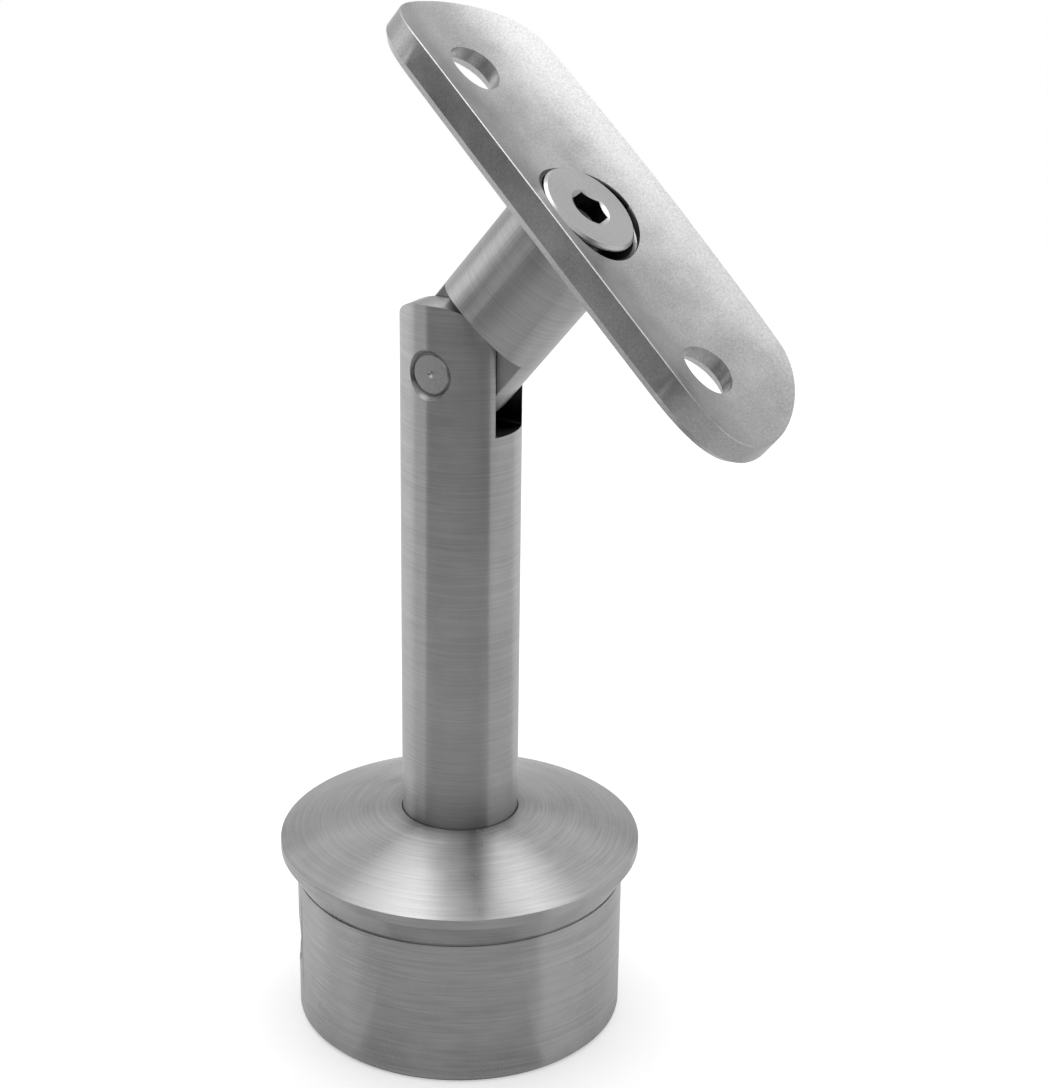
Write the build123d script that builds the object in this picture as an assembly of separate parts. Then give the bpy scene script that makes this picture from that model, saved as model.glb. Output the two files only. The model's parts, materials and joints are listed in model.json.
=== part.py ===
# Adjustable handrail bracket: a turned cap that plugs into a round post, a stem with a fork,
# a neck that tilts on a cross pin, and a curved saddle that turns on the neck under one screw.
# Millimetres, +Z up. The origin is on the post's axis at the top of the plug, where the post's
# end comes to rest. The pin's axis lies along Y and the neck leans towards +X.
import os
from math import asin, pi, sqrt, tan

from build123d import *

# Post cap
plugRadius = 19.9
plugLength = 18.4
plugChamfer = 0.5
capWall = 4.0
reliefDepth = 0.3
reliefHeight = 0.4
bevelFootRadius = 19.95
rimRadius = 21.85
rimLowHeight = 3.4
rimTopHeight = 4.6
domeRise = 3.8
ceilingHeight = 2.6
ceilingChamfer = 1.5

# Side hole that takes the screw holding the cap in the post, M8 tapping size
sideHoleRadius = 3.4
sideHoleHeight = -8.9
sideHoleAngle = 216.0

# Stem and its fork
barRadius = 7.0
seatDepth = 1.8
seatClearance = 0.1
pinHeight = 64.6
earHeight = 8.05
earCornerRadius = 6.0
slotWidth = 5.7
slotDepth = 7.3
slotFillet = 0.5

# Pin, pressed into both ears; the neck's tongue turns on it
pinRadius = 2.5
pinHalfLength = 6.3
pinChamfer = 0.3
pinPressGap = 0.01
pinRunGap = 0.05
pinDimpleRadius = 0.45
pinDimpleDepth = 0.4
pinRecessRadius = 2.95
pinRecessFloor = 6.0

# Neck
tiltDegrees = 39.5
tongueClearance = 0.1
shoulderHeight = 8.85
shoulderRadius = 13.0

# Saddle
saddleHeight = 24.9
saddleLength = 64.2
saddleWidth = 22.1
saddleSideBow = 0.9
saddleEndFlat = 0.5
saddleRadius = 20.0
saddleThick = 3.4
saddleLowBevel = 0.7
saddleTopChamfer = 0.15
saddleTurn = -8.6
saddleShift = 0.45
railHoleInset = 10.35
railHoleRadius = 3.2
railSinkRadius = 5.0
screwHoleRadius = 3.75
headRecessRadius = 6.4
footRecessRadius = 7.6
footRecessDepth = 0.25

# Saddle screw, M6 countersunk with a 4 mm hexagon socket
saddleScrewRadius = 3.0
saddleScrewLength = 12.0
saddleHeadRadius = 5.9
saddleHeadEdge = 0.5
saddleHeadBevel = 0.3
saddleHeadProud = 0.9
saddleSocketFlats = 4.0
saddleSocketDepth = 2.1
saddleSocketLead = 0.5
saddleSocketTurn = 37.5

# Stem screw, M8 socket head with a 6 mm hexagon, its spring washer and its plain washer
stemScrewRadius = 4.0
stemScrewLength = 20.0
stemHeadRadius = 6.5
stemHeadHeight = 8.0
stemScrewChamfer = 0.5
stemSocketFlats = 6.0
stemSocketDepth = 4.0
plainWasherRadius = 8.0
plainWasherThick = 1.6
springWasherRadius = 7.4
springWasherThick = 2.0
springWasherGap = 1.2
springWasherSlant = 20.0
washerBoreRadius = 4.2
capHoleRadius = 4.25

# Threads are left plain: each screw runs in a bore this much wider than itself
threadGap = 0.05
boreSpare = 1.5

# Pointed bottoms of drilled holes
drillSlope = 0.58
drillTip = 0.02

# How far a cutting shape runs past what it cuts
over = 1.0

# Positions that follow from the sizes above. The dome is part of a sphere on the post's axis
# that passes through the rim's upper edge and through the stem's foot.
domeCentreDrop = (rimRadius ** 2 - barRadius ** 2 - domeRise ** 2) / (2 * domeRise)
domeCentre = rimTopHeight - domeCentreDrop
domeRadius = sqrt(rimRadius ** 2 + domeCentreDrop ** 2)
seatRadius = barRadius + seatClearance
seatFloor = rimTopHeight + domeRise - seatDepth
tongueWidth = slotWidth - 2 * tongueClearance
undersideRadius = saddleRadius + saddleThick
neckTop = saddleHeight - saddleThick + footRecessDepth
stemScrewSeat = ceilingHeight - plainWasherThick - springWasherThick
saddleScrewTop = saddleHeight + saddleHeadProud
cornerPerFlats = 1 / sqrt(3)  # a hexagon's corner radius over its width across flats


def upright(radius, low, high):
    # Round bar along Z between two heights
    return Pos(0, 0, (low + high) / 2) * Cylinder(radius, high - low)


def acrossBar(radius, low, high):
    # Round bar along Y between two positions, its axis at the height of the pin
    return Pos(0, (low + high) / 2, 0) * Rot(90, 0, 0) * Cylinder(radius, high - low)


def sideBall(radius):
    # Ball whose two poles lie along Y
    return Rot(90, 0, 0) * Sphere(radius)


def hexagonBore(flats, low, high):
    shape = RegularPolygon(flats * cornerPerFlats, 6)
    return Pos(0, 0, low) * extrude(shape, high - low)


def makeCap():
    plugInner = plugRadius - capWall
    bottom = -plugLength
    blankTop = rimTopHeight + domeRise + over
    section = Polyline(
        (rimRadius, blankTop),
        (rimRadius, rimLowHeight),
        (bevelFootRadius, reliefHeight),
        (plugRadius - reliefDepth, reliefHeight),
        (plugRadius - reliefDepth, 0),
        (plugRadius, 0),
        (plugRadius, bottom + plugChamfer),
        (plugRadius - plugChamfer, bottom),
        (plugInner, bottom),
        (plugInner, ceilingHeight - ceilingChamfer),
        (plugInner - ceilingChamfer, ceilingHeight),
        (capHoleRadius, ceilingHeight),
        (capHoleRadius, seatFloor),
        (seatRadius, seatFloor),
        (seatRadius, blankTop),
        close=True,
    )
    cap = revolve(Plane.XZ * make_face(section), Axis.Z, 360)
    cap = cap & (Pos(0, 0, domeCentre) * sideBall(domeRadius))
    hole = Pos(plugRadius - capWall / 2, 0, 0) * Rot(0, 90, 0) * Cylinder(sideHoleRadius, 2 * capWall)
    return cap - Rot(0, 0, sideHoleAngle) * Pos(0, 0, sideHoleHeight) * hole


def makeStem():
    # Built about the pin's axis, then lifted to the pin's height
    low = seatFloor - pinHeight
    outline = Pos(0, (low + earHeight) / 2) * Rectangle(2 * barRadius, earHeight - low)
    outline = fillet(outline.vertices().sort_by(Axis.Y)[-2:], earCornerRadius)
    ears = extrude(Plane.XZ * outline, barRadius + over, both=True)
    stem = upright(barRadius, low, earHeight) & ears
    slotHeight = slotDepth + earHeight + over
    slot = Box(4 * barRadius, slotWidth, slotHeight)
    slot = fillet(slot.edges().filter_by(Axis.X).sort_by(Axis.Z)[:2], slotFillet)
    stem = stem - Pos(0, 0, slotHeight / 2 - slotDepth) * slot
    stem = stem - acrossBar(pinRadius + pinPressGap, -barRadius - over, barRadius + over)
    recessDepth = barRadius - pinRecessFloor
    recess = Cone(pinRadius + pinPressGap, pinRecessRadius, recessDepth)
    for side in (1, -1):
        place = Pos(0, side * (pinRecessFloor + recessDepth / 2), 0) * Rot(-90 * side, 0, 0)
        stem = stem - place * recess
    boreTop = low + stemScrewLength - (seatFloor - stemScrewSeat) + boreSpare
    stem = stem - upright(stemScrewRadius + threadGap, low - over, boreTop)
    return Pos(0, 0, pinHeight) * stem


def makePin():
    pin = acrossBar(pinRadius, -pinHalfLength, pinHalfLength)
    ends = pin.edges().filter_by(GeomType.CIRCLE)
    pin = chamfer(ends, pinChamfer)
    dimple = Cone(drillTip, pinDimpleRadius, pinDimpleDepth)
    for side in (1, -1):
        place = Pos(0, side * (pinHalfLength - pinDimpleDepth / 2), 0) * Rot(-90 * side, 0, 0)
        pin = pin - place * dimple
    return Pos(0, 0, pinHeight) * pin


def makeNeck():
    neck = upright(barRadius, 0, neckTop) + sideBall(barRadius)
    shoulderCentre = Pos(0, 0, shoulderHeight - shoulderRadius)
    for side in (1, -1):
        inner = side * tongueWidth / 2
        outer = side * (barRadius + over)
        neck = neck - shoulderCentre * acrossBar(shoulderRadius, min(inner, outer), max(inner, outer))
    neck = neck - acrossBar(pinRadius + pinRunGap, -barRadius, barRadius)
    boreLow = saddleScrewTop - saddleScrewLength - boreSpare
    neck = neck - upright(saddleScrewRadius + threadGap, boreLow, neckTop + over)
    return tilted(neck)


def tilted(shape):
    # From the neck's own frame, pin at the origin and axis along Z, to its place on the stem
    return Pos(0, 0, pinHeight) * Rot(0, tiltDegrees, 0) * shape


def makeSaddlePlan():
    # Long sides bow outwards a little. The corners are so round that only a short flat is left
    # at each end.
    halfWidth = saddleWidth / 2
    halfLength = saddleLength / 2
    bowRadius = (halfLength ** 2 + saddleSideBow ** 2) / (2 * saddleSideBow)
    offset = bowRadius - halfWidth
    plan = Rectangle(saddleLength, 2 * saddleWidth)
    plan = plan & (Pos(0, offset) * Circle(bowRadius))
    plan = plan & (Pos(0, -offset) * Circle(bowRadius))
    # The bow turns each side in by this angle before it meets the end
    sideSlope = asin(halfLength / bowRadius)
    cornerReach = halfWidth - saddleSideBow - saddleEndFlat / 2
    cornerRadius = cornerReach / tan(pi / 4 - sideSlope / 2)
    return fillet(plan.vertices(), cornerRadius)


def makeSaddle():
    curveHeight = saddleHeight + saddleRadius
    lowest = saddleHeight - saddleThick
    bendAxis = Pos(0, 0, curveHeight) * Rot(0, 90, 0)
    sheet = bendAxis * Cylinder(undersideRadius, 2 * saddleLength)
    sheet = sheet - bendAxis * Cylinder(saddleRadius, 2 * saddleLength)
    plan = Pos(0, 0, lowest - over) * makeSaddlePlan()
    plate = sheet & extrude(plan, saddleThick + saddleRadius / 2)
    underside = plate.faces().filter_by(GeomType.CYLINDER).sort_by(Axis.Z)[0]
    plate = chamfer(underside.edges(), saddleLowBevel)
    topEdges = [edge for edge in plate.edges() if onSaddleTop(edge)]
    plate = chamfer(topEdges, saddleTopChamfer)
    plate = plate - upright(screwHoleRadius, lowest - over, saddleHeight + over)
    sinkDepth = headRecessRadius - screwHoleRadius
    sink = Cone(screwHoleRadius, headRecessRadius, sinkDepth)
    headRoom = upright(headRecessRadius, saddleHeight, saddleHeight + saddleRadius / 2)
    plate = plate - (headRoom + Pos(0, 0, saddleHeight - sinkDepth / 2) * sink)
    plate = plate - upright(footRecessRadius, lowest - over, lowest + footRecessDepth)
    railSinkDepth = railSinkRadius - railHoleRadius
    railSink = Cone(railSinkRadius + over, railHoleRadius, railSinkDepth + over)
    for side in (1, -1):
        place = Pos(side * (saddleLength / 2 - railHoleInset), 0, 0)
        plate = plate - place * upright(railHoleRadius, lowest - over, saddleHeight + over)
        plate = plate - place * Pos(0, 0, lowest + (railSinkDepth - over) / 2) * railSink
    return tilted(Rot(0, 0, saddleTurn) * Pos(saddleShift, 0, 0) * plate)


def onSaddleTop(edge):
    # True for an edge that lies wholly on the saddle's upper, concave face
    for along in (0.0, 0.37, 0.5, 1.0):
        point = edge.position_at(along)
        away = sqrt(point.Y ** 2 + (point.Z - saddleHeight - saddleRadius) ** 2)
        if abs(away - saddleRadius) > 0.01:
            return False
    return True


def makeSaddleScrew():
    top = saddleScrewTop
    edgeLow = top - saddleHeadEdge
    coneHeight = saddleHeadRadius - saddleScrewRadius
    screw = upright(saddleHeadRadius, edgeLow, top)
    screw = chamfer(screw.edges().filter_by(GeomType.CIRCLE).sort_by(Axis.Z)[-1], saddleHeadBevel)
    cone = Cone(saddleScrewRadius, saddleHeadRadius, coneHeight)
    screw = screw + Pos(0, 0, edgeLow - coneHeight / 2) * cone
    screw = screw + upright(saddleScrewRadius, top - saddleScrewLength, edgeLow - coneHeight)
    socketLow = top - saddleSocketDepth
    screw = screw - Rot(0, 0, saddleSocketTurn) * hexagonBore(saddleSocketFlats, socketLow, top + over)
    leadDepth = saddleSocketLead / 2
    lead = Cone(saddleSocketFlats / 2, saddleSocketFlats / 2 + saddleSocketLead, leadDepth)
    screw = screw - Pos(0, 0, top - leadDepth / 2) * lead
    drillRadius = saddleSocketFlats / 2
    drillDepth = drillRadius * drillSlope
    drill = Cone(drillTip, drillRadius, drillDepth)
    screw = screw - Pos(0, 0, socketLow - drillDepth / 2) * drill
    return tilted(screw)


def makeStemScrew():
    seat = stemScrewSeat
    low = seat - stemHeadHeight
    screw = upright(stemHeadRadius, low, seat)
    screw = screw + upright(stemScrewRadius, seat, seat + stemScrewLength)
    rings = screw.edges().filter_by(GeomType.CIRCLE).sort_by(Axis.Z)
    screw = chamfer([rings[0], rings[-1]], stemScrewChamfer)
    return screw - hexagonBore(stemSocketFlats, low - over, low + stemSocketDepth)


def makePlainWasher():
    high = ceilingHeight
    low = high - plainWasherThick
    return upright(plainWasherRadius, low, high) - upright(washerBoreRadius, low - over, high + over)


def makeSpringWasher():
    low = stemScrewSeat
    high = low + springWasherThick
    ring = upright(springWasherRadius, low, high) - upright(washerBoreRadius, low - over, high + over)
    gap = Box(2 * springWasherRadius, springWasherGap, 3 * springWasherThick)
    return ring - Pos(springWasherRadius, 0, (low + high) / 2) * Rot(springWasherSlant, 0, 0) * gap


pieces = {
    "base_cap": makeCap,
    "stem": makeStem,
    "pivot_pin": makePin,
    "neck_rod": makeNeck,
    "saddle_plate": makeSaddle,
    "saddle_screw": makeSaddleScrew,
    "stem_screw": makeStemScrew,
    "stem_spring_washer": makeSpringWasher,
    "stem_plain_washer": makePlainWasher,
}

os.makedirs("parts", exist_ok=True)
for name, build in pieces.items():
    shape = build()
    export_step(shape, "parts/" + name + ".step")
    print(name, round(shape.volume, 1))
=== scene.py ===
import json
from math import atan2, cos, radians, sin

import bmesh
import bpy
import numpy as np
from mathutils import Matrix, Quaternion, Vector


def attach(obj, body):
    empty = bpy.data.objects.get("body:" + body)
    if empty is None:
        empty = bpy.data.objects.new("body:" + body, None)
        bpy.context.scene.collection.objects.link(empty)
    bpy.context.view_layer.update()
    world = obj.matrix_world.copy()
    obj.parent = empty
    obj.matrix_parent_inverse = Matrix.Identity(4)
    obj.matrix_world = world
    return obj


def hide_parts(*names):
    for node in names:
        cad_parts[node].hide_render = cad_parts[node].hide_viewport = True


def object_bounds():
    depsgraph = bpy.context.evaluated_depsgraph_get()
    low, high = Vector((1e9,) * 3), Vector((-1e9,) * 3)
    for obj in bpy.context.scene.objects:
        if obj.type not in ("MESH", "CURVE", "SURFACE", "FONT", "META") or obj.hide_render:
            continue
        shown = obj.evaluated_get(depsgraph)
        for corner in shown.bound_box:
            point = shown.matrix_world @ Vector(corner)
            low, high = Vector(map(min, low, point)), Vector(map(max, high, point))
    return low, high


mm = 0.001

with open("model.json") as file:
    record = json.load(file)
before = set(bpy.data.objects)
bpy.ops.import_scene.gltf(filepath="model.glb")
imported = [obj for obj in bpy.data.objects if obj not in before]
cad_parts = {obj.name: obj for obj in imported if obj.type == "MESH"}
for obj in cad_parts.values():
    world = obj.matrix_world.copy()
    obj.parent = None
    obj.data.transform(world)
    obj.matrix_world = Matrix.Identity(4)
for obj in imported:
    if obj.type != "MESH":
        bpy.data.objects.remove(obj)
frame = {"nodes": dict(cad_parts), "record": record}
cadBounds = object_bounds()
nodes = frame["nodes"]
bodies = frame["record"]["behaviour"]["bodies"]
print("frame loaded:", len(nodes), "nodes")


def hexColour(text):
    # sRGB hex to linear RGBA
    parts = np.array([int(text[i:i + 2], 16) / 255 for i in (1, 3, 5)])
    linear = np.where(parts <= 0.04045, parts / 12.92, ((parts + 0.055) / 1.055) ** 2.4)
    return (*[float(c) for c in linear], 1.0)


def addNode(tree, kind, settings=None, inputs=None, links=None):
    # One node with its properties, its socket values and what feeds it
    node = tree.nodes.new(kind)
    for key, value in (settings or {}).items():
        setattr(node, key, value)
    for key, value in (inputs or {}).items():
        node.inputs[key].default_value = value
    for key, source in (links or {}).items():
        tree.links.new(source, node.inputs[key])
    return node


def newMaterial(name):
    # An empty node material, ready for its nodes
    material = bpy.data.materials.new(name)
    material.use_nodes = True
    material.node_tree.nodes.clear()
    return material, material.node_tree


def dress(obj, material):
    obj.data.materials.clear()
    obj.data.materials.append(material)


finish = {
    "meltEdge": 1.0e-6,  # m, points nearer than this are one point
    "flatAngle": 0.05,  # degrees, faces nearer than this to one plane are joined
    "smoothAngle": 12.0,  # degrees, normals nearer than this belong to one smooth surface
    "sharpAngle": 32.0,  # degrees, an edge sharper than this is rounded
    "steps": 3,  # faces across a rounded edge
}


def bodyOf(node):
    # The moving body that carries a CAD node
    return next(body for body, names in bodies.items() if node in names)


def evened(mesh, normals):
    # Where two CAD faces meet smoothly, their corners take one normal: the mean of those within
    # smoothAngle, each weighted by its face's area
    weights = np.zeros((len(mesh.loops), 1))
    corners = {}
    for face in mesh.polygons:
        for loop in face.loop_indices:
            weights[loop] = face.area
            corners.setdefault(mesh.loops[loop].vertex_index, []).append(loop)
    result = normals.copy()
    for loops in corners.values():
        near = normals[loops] @ normals[loops].T > cos(radians(finish["smoothAngle"]))
        mixed = near @ (weights[loops] * normals[loops])
        result[loops] = mixed / np.maximum(np.linalg.norm(mixed, axis=1, keepdims=True), 1e-30)
    return result


def softened(node, width):
    # A copy of a CAD node with its triangles joined, its CAD normals kept and every sharp edge
    # rounded by width, in mm, as tumbling and hand finishing leave it
    mesh = nodes[node].data.copy()
    mesh.name = node + "_finished"
    normals = np.zeros(3 * len(mesh.loops))
    mesh.corner_normals.foreach_get("vector", normals)
    mesh.attributes.new("exact", "FLOAT_VECTOR", "CORNER").data.foreach_set("vector", normals)
    work = bmesh.new()
    work.from_mesh(mesh)
    bmesh.ops.remove_doubles(work, verts=work.verts, dist=finish["meltEdge"])
    bmesh.ops.dissolve_degenerate(work, dist=finish["meltEdge"], edges=work.edges)
    bmesh.ops.dissolve_limit(work, angle_limit=radians(finish["flatAngle"]),
                             verts=work.verts, edges=work.edges)
    work.to_mesh(mesh)
    work.free()
    mesh.shade_smooth()
    mesh.set_sharp_from_angle(angle=radians(finish["sharpAngle"]))
    normals = np.zeros(3 * len(mesh.loops))
    mesh.attributes["exact"].data.foreach_get("vector", normals)
    mesh.attributes.remove(mesh.attributes["exact"])
    mesh.normals_split_custom_set(evened(mesh, normals.reshape(-1, 3)).tolist())
    obj = bpy.data.objects.new(mesh.name, mesh)
    bpy.context.scene.collection.objects.link(obj)
    if width:
        bevel = obj.modifiers.new("rounded edges", "BEVEL")
        bevel.width = width * mm
        bevel.segments = finish["steps"]
        bevel.limit_method = "ANGLE"
        bevel.angle_limit = radians(finish["sharpAngle"])
        bevel.harden_normals = True
    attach(obj, bodyOf(node))
    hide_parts(node)
    return obj


steel = {
    "markPitch": 0.24,  # mm between the marks that show, coarser than a real belt's or tool's
    "markLength": 25.0,  # how many times longer than wide a mark is
    "markDetail": 1.5,
    "markGrain": 0.5,
    "markDepth": 0.004,  # mm
    "cloudSize": 7.0,  # mm, the soft unevenness of hand finishing
    "cloudDetail": 4.0,
    "cloudGrain": 0.6,
    "usual": (0.3, 0.7),  # the range that a noise mostly keeps to
    "usualSum": (0.7, 1.3),  # and the sum of two
    "smearTurn": 0.25,  # of a whole turn, so that light smears across the marks
    # the colour towards which painted shade darkens corners, gaps and recesses
    "paintedShade": "#4a4a4a",
}


def within(tree, value, low, high):
    # 1 where the value lies between low and high, both in mm
    above = addNode(tree, "ShaderNodeMath", {"operation": "GREATER_THAN"}, {1: low * mm},
                    {0: value}).outputs["Value"]
    below = addNode(tree, "ShaderNodeMath", {"operation": "LESS_THAN"}, {1: high * mm},
                    {0: value}).outputs["Value"]
    return addNode(tree, "ShaderNodeMath", {"operation": "MULTIPLY"},
                   links={0: above, 1: below}).outputs["Value"]


def measured(tree, place, axis, centre):
    # Height along an axis, the direction round it (axis x arm) and the distance from it
    arm = addNode(tree, "ShaderNodeVectorMath", {"operation": "SUBTRACT"},
                  {1: [c * mm for c in centre]}, {0: place}).outputs["Vector"]
    height = addNode(tree, "ShaderNodeVectorMath", {"operation": "DOT_PRODUCT"}, {1: axis},
                     {0: arm}).outputs["Value"]
    around = addNode(tree, "ShaderNodeVectorMath", {"operation": "CROSS_PRODUCT"}, {0: axis},
                     {1: arm}).outputs["Vector"]
    distance = addNode(tree, "ShaderNodeVectorMath", {"operation": "LENGTH"},
                       links={0: around}).outputs["Value"]
    return height, around, distance


def brushedSteel(name, look, axis=None, centre=(0, 0, 0), dark=None):
    # Stainless steel with fine marks. Where the piece was turned or ground about an axis, the
    # marks are circles about it: noise over (distance, height) at full scale plus the place at
    # one part in markLength. Light smears across them.
    material, tree = newMaterial(name)
    scale = 1 / (steel["markPitch"] * mm)
    place = addNode(tree, "ShaderNodeTexCoord").outputs["Object"]
    grain = addNode(tree, "ShaderNodeVectorMath", {"operation": "SCALE"}, {"Scale": scale},
                    {0: place}).outputs["Vector"]
    if axis:
        height, around, distance = measured(tree, place, axis, centre)
        rings = addNode(tree, "ShaderNodeCombineXYZ",
                        links={"X": distance, "Y": height}).outputs["Vector"]
        drawn = addNode(tree, "ShaderNodeVectorMath", {"operation": "SCALE"},
                        {"Scale": 1 / steel["markLength"]}, {0: grain}).outputs["Vector"]
        grain = addNode(tree, "ShaderNodeVectorMath", {"operation": "MULTIPLY_ADD"},
                        {1: (scale, scale, scale)}, {0: rings, 2: drawn}).outputs["Vector"]
    marks = addNode(tree, "ShaderNodeTexNoise",
                    inputs={"Scale": 1.0, "Detail": steel["markDetail"],
                            "Roughness": steel["markGrain"]},
                    links={"Vector": grain}).outputs["Fac"]
    clouds = addNode(tree, "ShaderNodeTexNoise",
                     inputs={"Scale": 1 / (steel["cloudSize"] * mm), "Detail": steel["cloudDetail"],
                             "Roughness": steel["cloudGrain"]},
                     links={"Vector": place}).outputs["Fac"]
    rough = addNode(tree, "ShaderNodeMapRange",
                    inputs={"From Min": steel["usual"][0], "From Max": steel["usual"][1],
                            "To Min": look["roughness"] - look["spread"],
                            "To Max": look["roughness"] + look["spread"]},
                    links={"Value": clouds}).outputs["Result"]
    both = addNode(tree, "ShaderNodeMath", {"operation": "ADD"},
                   links={0: marks, 1: clouds}).outputs["Value"]
    shade = addNode(tree, "ShaderNodeMapRange",
                    inputs={"From Min": steel["usualSum"][0], "From Max": steel["usualSum"][1],
                            "To Min": 1 - 2 * look["cloud"], "To Max": 1 + look["cloud"]},
                    links={"Value": both}).outputs["Result"]
    tint = addNode(tree, "ShaderNodeMix", {"data_type": "RGBA", "blend_type": "MULTIPLY"},
                   inputs={0: 1.0, 6: hexColour(look["colour"])}, links={7: shade}).outputs[2]
    if dark:
        # Painted shade: deep narrow places and corners are mixed towards a dark grey, by the mask that
        # dark gives
        tint = addNode(tree, "ShaderNodeMix", {"data_type": "RGBA"}, {7: hexColour(steel["paintedShade"])},
                       {0: dark(tree, place), 6: tint}).outputs[2]
    relief = addNode(tree, "ShaderNodeBump",
                     inputs={"Strength": look["bump"], "Distance": steel["markDepth"] * mm},
                     links={"Height": marks}).outputs["Normal"]
    shader = addNode(tree, "ShaderNodeBsdfPrincipled", inputs={"Metallic": 1.0},
                     links={"Base Color": tint, "Roughness": rough, "Normal": relief})
    if axis:
        shader.inputs["Anisotropic"].default_value = look["smear"]
        shader.inputs["Anisotropic Rotation"].default_value = steel["smearTurn"]
        turn = addNode(tree, "ShaderNodeVectorTransform",
                       {"vector_type": "VECTOR", "convert_from": "OBJECT", "convert_to": "WORLD"},
                       links={"Vector": around}).outputs["Vector"]
        tree.links.new(turn, shader.inputs["Tangent"])
    addNode(tree, "ShaderNodeOutputMaterial", links={"Surface": shader.outputs["BSDF"]})
    return material


looks = {  # spread is how much the roughness varies, and cloud how much the brightness does
    # Stainless turned and polished on a lathe: rings that draw each light out into a fan
    "turned": {"colour": "#bebebe", "roughness": 0.29, "spread": 0.04, "smear": 1.0, "bump": 1.0,
               "cloud": 0.1},
    # Stainless bar, ground round: rings that draw each light out into a band along the bar
    "ground": {"colour": "#bebebe", "roughness": 0.3, "spread": 0.03, "smear": 0.97, "bump": 0.8,
               "cloud": 0.08},
    # Bent stainless plate, linished and tumbled: a soft satin without a direction, a little cloudy
    "plate": {"colour": "#c0c0c0", "roughness": 0.34, "spread": 0.06, "bump": 0.8, "cloud": 0.12},
    # Stainless fasteners as they come: brighter and even, with hardly a mark
    "screw": {"colour": "#c4c4c4", "roughness": 0.28, "spread": 0.04, "bump": 0.2, "cloud": 0.05},
}
postAxis = (0, 0, 1)
neckAxis = (0.636078, 0.0, 0.771625)
pinCentre = (0, 0, 64.6)  # mm

darkPlaces = {  # where shade is painted, in mm, apart from the painted shade's strength
    "paintedShadeStrength": 0.38,  # how far towards its colour the painted shade darkens the corners
    "foot": (8.0, 13.5),  # heights over which the painted shade fades from the stem
    "ring": (7.0, 9.4),  # distances from the post's axis over which the painted shade fades from the cap
    "slot": (-2.87, 2.87),  # across the fork, along Y
    "slotHeight": (57.25, 80),
    "recess": (0, 6.43),  # distances from the neck's axis, and heights along it from the pin
    "recessHeight": (15, 27),
    "socket": (0, 2.42),
    "socketHeight": (20, 25.5),
}


def inBoth(tree, first, firstRange, second, secondRange):
    # 1 where both values lie in their ranges
    return addNode(tree, "ShaderNodeMath", {"operation": "MULTIPLY"},
                   links={0: within(tree, first, *darkPlaces[firstRange]),
                          1: within(tree, second, *darkPlaces[secondRange])}).outputs["Value"]


def fading(tree, value, name):
    # Painted shade in a corner, fading out of it
    low, high = darkPlaces[name]
    return addNode(tree, "ShaderNodeMapRange",
                   inputs={"From Min": low * mm, "From Max": high * mm,
                           "To Min": darkPlaces["paintedShadeStrength"], "To Max": 0.0},
                   links={"Value": value}).outputs["Result"]


def stemPaintedShade(tree, place):
    # Painted shade between the fork's ears, and a little at the stem's foot
    parts = addNode(tree, "ShaderNodeSeparateXYZ", links={"Vector": place})
    slot = inBoth(tree, parts.outputs["Y"], "slot", parts.outputs["Z"], "slotHeight")
    return addNode(tree, "ShaderNodeMath", {"operation": "MAXIMUM"},
                   links={0: slot, 1: fading(tree, parts.outputs["Z"], "foot")}).outputs["Value"]


def capPaintedShade(tree, place):
    # Painted shade on the cap round the stem's foot
    return fading(tree, measured(tree, place, postAxis, (0, 0, 0))[2], "ring")


def recessPaintedShade(tree, place):
    # Painted shade in the gap round the screw's head
    height, _, distance = measured(tree, place, neckAxis, pinCentre)
    return inBoth(tree, distance, "recess", height, "recessHeight")


def socketPaintedShade(tree, place):
    # Painted shade in the screw's hexagon
    height, _, distance = measured(tree, place, neckAxis, pinCentre)
    return inBoth(tree, distance, "socket", height, "socketHeight")


turned = brushedSteel("turned stainless steel", looks["turned"], postAxis, dark=capPaintedShade)
ground = brushedSteel("ground stainless bar", looks["ground"], postAxis, dark=stemPaintedShade)
neck = brushedSteel("ground stainless neck", looks["ground"], neckAxis, pinCentre)
plate = brushedSteel("linished stainless plate", looks["plate"], dark=recessPaintedShade)
screw = brushedSteel("plain stainless screw", looks["screw"])
socketed = brushedSteel("plain stainless socket screw", looks["screw"], dark=socketPaintedShade)

finished = {  # material, rounding of the edges in mm, slot of the record
    "base_cap": (turned, 0.05, "steel_turned"),
    "stem": (ground, 0, "steel_drawn"),  # left sharp: rounding draws a dark line down it
    "pivot_pin": (screw, 0.08, "steel_pin"),
    "neck_rod": (neck, 0.12, "steel_drawn"),
    "saddle_plate": (plate, 0.15, "steel_plate"),
    "saddle_screw": (socketed, 0.25, "steel_screw"),
}
hidden = ("stem_screw", "stem_spring_washer", "stem_plain_washer")  # inside the cap
for name, (material, width, slot) in finished.items():
    obj = softened(name, width)
    dress(obj, material)
for name in hidden:
    dress(nodes[name], screw)
print("finished pieces:", len(finished) + len(hidden))


camera = {
    "place": (140.7, -221.6, 143.7),  # mm
    "aim": (2.4, 10.4, 39.4),  # mm
    "lens": 79.58,  # mm
    "sensor": 36,  # mm
    "nearest": 10,  # mm, nothing nearer is seen
    "roll": 0.75,  # degrees
}
heading = atan2(camera["place"][1], camera["place"][0])  # of the camera, seen from the bracket


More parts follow.
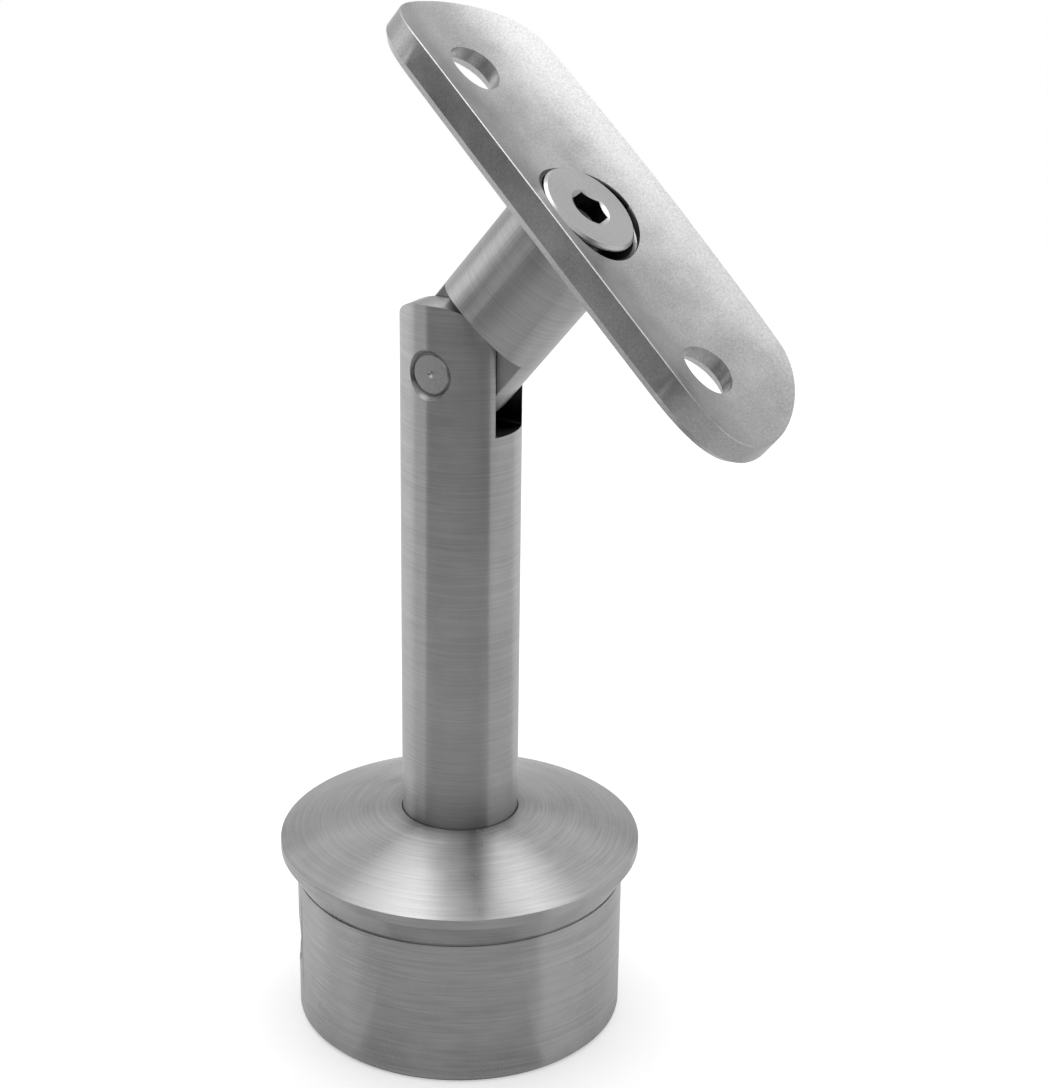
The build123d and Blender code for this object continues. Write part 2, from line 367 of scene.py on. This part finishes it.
def placeCamera():
    data = bpy.data.cameras.new("camera")
    data.lens = camera["lens"]
    data.sensor_width = camera["sensor"]
    data.clip_start = camera["nearest"] * mm
    obj = bpy.data.objects.new("camera", data)
    bpy.context.scene.collection.objects.link(obj)
    place = Vector(camera["place"]) * mm
    aim = Vector(camera["aim"]) * mm
    obj.location = place
    upright = (aim - place).to_track_quat("-Z", "Y")
    obj.rotation_euler = (upright @ Quaternion((0, 0, 1), radians(camera["roll"]))).to_euler()
    bpy.context.scene.camera = obj


placeCamera()

floorHeight = cadBounds[0][2]
paper = {
    "colour": "#e0e0e0",
    "roughness": 0.9,
    "reach": 0.42,  # m, beyond it the white surroundings carry on
    "sides": 96,
    "glow": 0.4,  # added for the camera alone, so that the paper reads white
}


def makeFloor():
    # A disc of paper about the post's axis: reach * (cos, sin)
    turns = np.linspace(0, 2 * np.pi, paper["sides"] + 1)[:-1]
    edge = paper["reach"] * np.stack([np.cos(turns), np.sin(turns)], -1)
    mesh = bpy.data.meshes.new("floor")
    mesh.from_pydata([(x, y, floorHeight) for x, y in edge.tolist()], [], [tuple(range(len(edge)))])
    obj = bpy.data.objects.new("floor", mesh)
    bpy.context.scene.collection.objects.link(obj)
    material, tree = newMaterial("white paper floor")
    ray = addNode(tree, "ShaderNodeLightPath")
    surface = addNode(tree, "ShaderNodeBsdfPrincipled",
                      inputs={"Base Color": hexColour(paper["colour"]), "Roughness": paper["roughness"],
                              "Emission Color": (1, 1, 1, 1)})
    glow = addNode(tree, "ShaderNodeMath", {"operation": "MULTIPLY"}, {1: paper["glow"]},
                   {0: ray.outputs["Is Camera Ray"]})
    tree.links.new(glow.outputs["Value"], surface.inputs["Emission Strength"])
    addNode(tree, "ShaderNodeOutputMaterial", links={"Surface": surface.outputs["BSDF"]})
    dress(obj, material)


makeFloor()

softbox = {
    "turn": 180,  # degrees to the right of the camera, seen from the bracket
    "rise": 80,  # degrees
    "distance": 0.9,  # m
    "width": 0.86,  # m
    "power": 3.5,  # W
    "aim": (0, 0, 0.05),  # m
}


def addSoftbox():
    # A square light over the bracket, a little behind it, as the fans on the dome show
    data = bpy.data.lights.new("overhead softbox", "AREA")
    data.shape = "RECTANGLE"
    data.size = softbox["width"]
    data.size_y = softbox["width"]
    data.energy = softbox["power"]
    obj = bpy.data.objects.new("overhead softbox", data)
    bpy.context.scene.collection.objects.link(obj)
    turn = heading + radians(softbox["turn"])
    rise = radians(softbox["rise"])
    away = Vector((cos(rise) * cos(turn), cos(rise) * sin(turn), sin(rise))) * softbox["distance"]
    obj.location = Vector(softbox["aim"]) + away
    obj.rotation_euler = (-away).to_track_quat("-Z", "Y").to_euler()


addSoftbox()

cardLift = 0.0002  # m, how far over the floor a flat card lies
cardSteps = 48  # faces round a card
domeStep = 3  # degrees between the rings of a dome


def level(near, far):
    # Profile of a flat ring just over the floor, between two distances in m
    return [(near, floorHeight + cardLift), (far, floorHeight + cardLift)]


def dome(radius, first, last):
    # Profile of a part of a ball about the bracket, in m, between two rises in degrees
    rises = np.radians(np.arange(first, last + 1, domeStep))
    return radius * np.stack([np.cos(rises), np.sin(rises)], -1)


# What the steel mirrors: turns in degrees to the right of the camera, and a profile of (distance
# from the post's axis, height) in m. Where fade gives two distances, grey turns to farGrey there.
cards = {
    # The card at the foot, and the near edge of the table close by, are painted shadow: their dark grey,
    # fading out, stands in for the floor's shadow round the foot as the steel mirrors it
    "table at the foot": {"turns": (-43, 34), "profile": level(0.021, 0.032), "grey": 0.18,
                          "farGrey": 0.4, "fade": (0.022, 0.032)},
    "table close by": {"turns": (-56, 44), "profile": level(0.032, 0.07), "grey": 0.4,
                       "farGrey": 0.58, "fade": (0.032, 0.045)},
    "table in front": {"turns": (-68, 53), "profile": level(0.07, 0.6), "grey": 0.58,
                       "farGrey": 0.14, "fade": (0.08, 0.26)},
    "table at the right": {"turns": (53, 120), "profile": level(0.05, 0.6), "grey": 0.58},
    "dark room behind the camera": {"turns": (-96, 54), "profile": [(0.6, floorHeight), (0.6, 0.3)],
                                    "grey": 0.13},
    "grey surroundings": {"turns": (-180, 180), "profile": dome(1.3, 6, 27), "grey": 0.55},
    "pale ceiling": {"turns": (-180, 180), "profile": dome(1.3, 27, 90), "grey": 0.76},
    "window at the left": {"turns": (-132, -106), "profile": dome(1.2, 0, 18), "grey": 1.35},
}


def addCard(name, card):
    # A card that only shiny surfaces see: its profile swept round the post's axis over the turns
    turns = heading + np.radians(np.linspace(*card["turns"], cardSteps + 1))
    out, high = np.array(card["profile"]).T
    points = np.stack([np.outer(out, np.cos(turns)), np.outer(out, np.sin(turns)),
                       np.outer(high, np.ones_like(turns))], -1)
    rows, columns = points.shape[:2]
    first = (np.arange(rows - 1)[:, None] * columns + np.arange(columns - 1)[None, :]).ravel()
    faces = np.stack([first, first + 1, first + columns + 1, first + columns], -1)
    mesh = bpy.data.meshes.new(name)
    mesh.from_pydata(points.reshape(-1, 3).tolist(), [], faces.tolist())
    obj = bpy.data.objects.new(name, mesh)
    bpy.context.scene.collection.objects.link(obj)
    material, tree = newMaterial(name)
    shine = addNode(tree, "ShaderNodeEmission", inputs={"Color": (1, 1, 1, 1), "Strength": card["grey"]})
    if "fade" in card:
        place = addNode(tree, "ShaderNodeTexCoord")
        away = addNode(tree, "ShaderNodeVectorMath", {"operation": "LENGTH"},
                       links={0: place.outputs["Object"]})
        grey = addNode(tree, "ShaderNodeMapRange",
                       inputs={"From Min": card["fade"][0], "From Max": card["fade"][1],
                               "To Min": card["grey"], "To Max": card["farGrey"]},
                       links={"Value": away.outputs["Value"]})
        tree.links.new(grey.outputs["Result"], shine.inputs["Strength"])
    addNode(tree, "ShaderNodeOutputMaterial", links={"Surface": shine.outputs["Emission"]})
    dress(obj, material)
    for kind in ("camera", "diffuse", "shadow", "transmission", "volume_scatter"):
        setattr(obj, "visible_" + kind, False)


for name, card in cards.items():
    addCard(name, card)

surroundings = {"light": 0.72, "seen": 1.0}  # strength as plain light, and as seen or mirrored


def makeWorld():
    world = bpy.data.worlds.new("studio")
    bpy.context.scene.world = world
    world.use_nodes = True
    tree = world.node_tree
    tree.nodes.clear()
    ray = addNode(tree, "ShaderNodeLightPath")
    seen = addNode(tree, "ShaderNodeMath", {"operation": "MAXIMUM"},
                   links={0: ray.outputs["Is Camera Ray"], 1: ray.outputs["Is Transmission Ray"]})
    white = addNode(tree, "ShaderNodeMath", {"operation": "MAXIMUM"},
                    links={0: seen.outputs["Value"], 1: ray.outputs["Is Glossy Ray"]})
    strength = addNode(tree, "ShaderNodeMapRange",
                       inputs={"To Min": surroundings["light"], "To Max": surroundings["seen"]},
                       links={"Value": white.outputs["Value"]})
    back = addNode(tree, "ShaderNodeBackground", inputs={"Color": (1, 1, 1, 1)},
                   links={"Strength": strength.outputs["Result"]})
    addNode(tree, "ShaderNodeOutputWorld", links={"Surface": back.outputs["Background"]})


makeWorld()
bpy.context.scene.view_settings.view_transform = "Standard"
print("studio ready")
